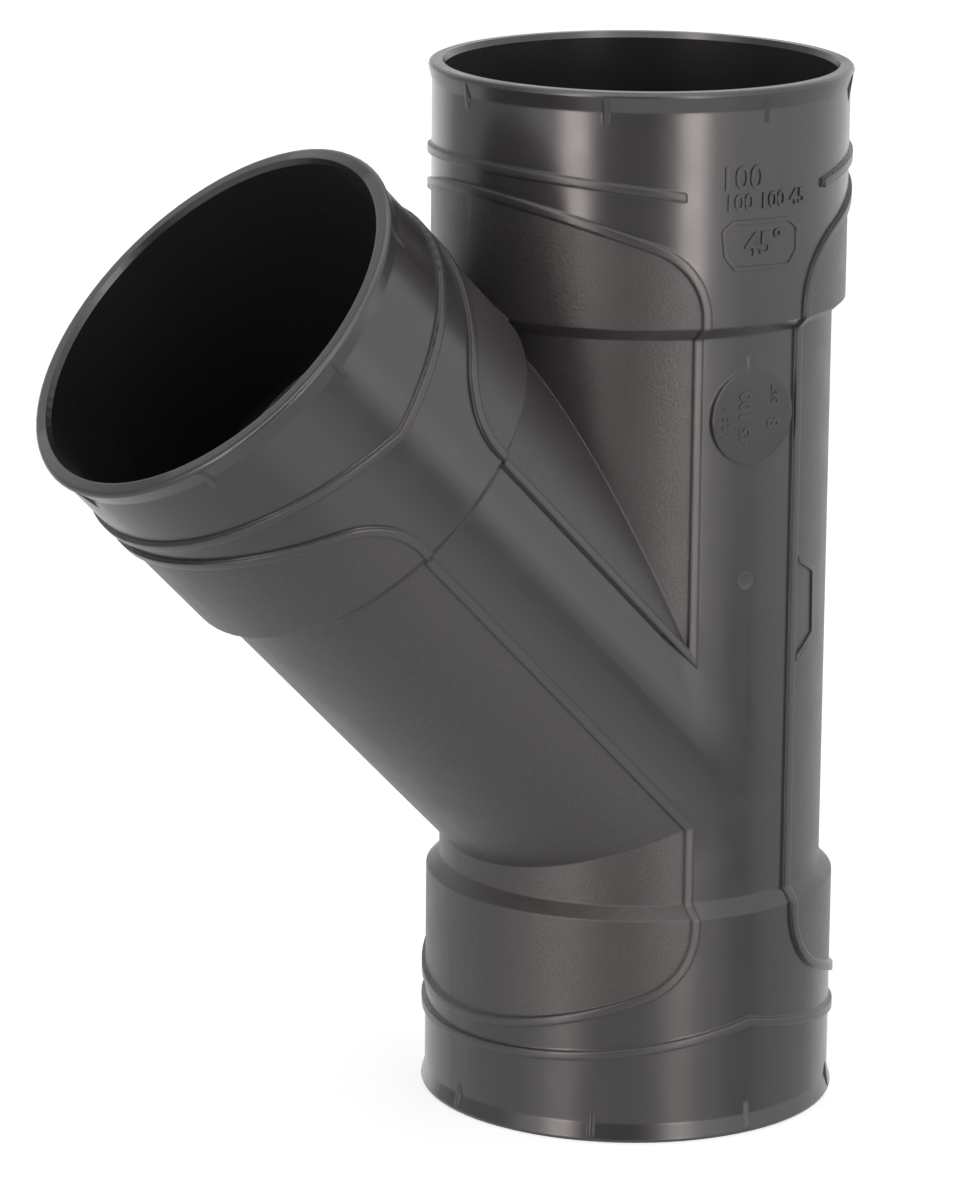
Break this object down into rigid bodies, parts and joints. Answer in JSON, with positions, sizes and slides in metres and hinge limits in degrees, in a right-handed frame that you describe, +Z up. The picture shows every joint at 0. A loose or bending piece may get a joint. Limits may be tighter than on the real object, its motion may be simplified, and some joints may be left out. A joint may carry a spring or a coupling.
{
  "type": "lateral wye pipe fitting",
  "caption": "Lateral wye pipe fitting: an upright run with a branch at 45 degrees, a glue socket on each end, smooth straps and raised border ribs.",
  "frame": {"origin": "centre of the lower socket's mouth, on the face that the fitting stands on", "axes": "+Z up the run, -X the side that the branch leans to, +Y the back, away from the pad"},
  "size_m": [0.2218, 0.1088, 0.2725],
  "materials": {
    "moulded_plastic": "injection-moulded rigid PVC, dark anthracite, semi-gloss straps and socket ends with fine-grained fields between the ribs"
  },
  "bodies": {
    "root": {"fitting_body": "moulded_plastic"}
  },
  "joints": []
}
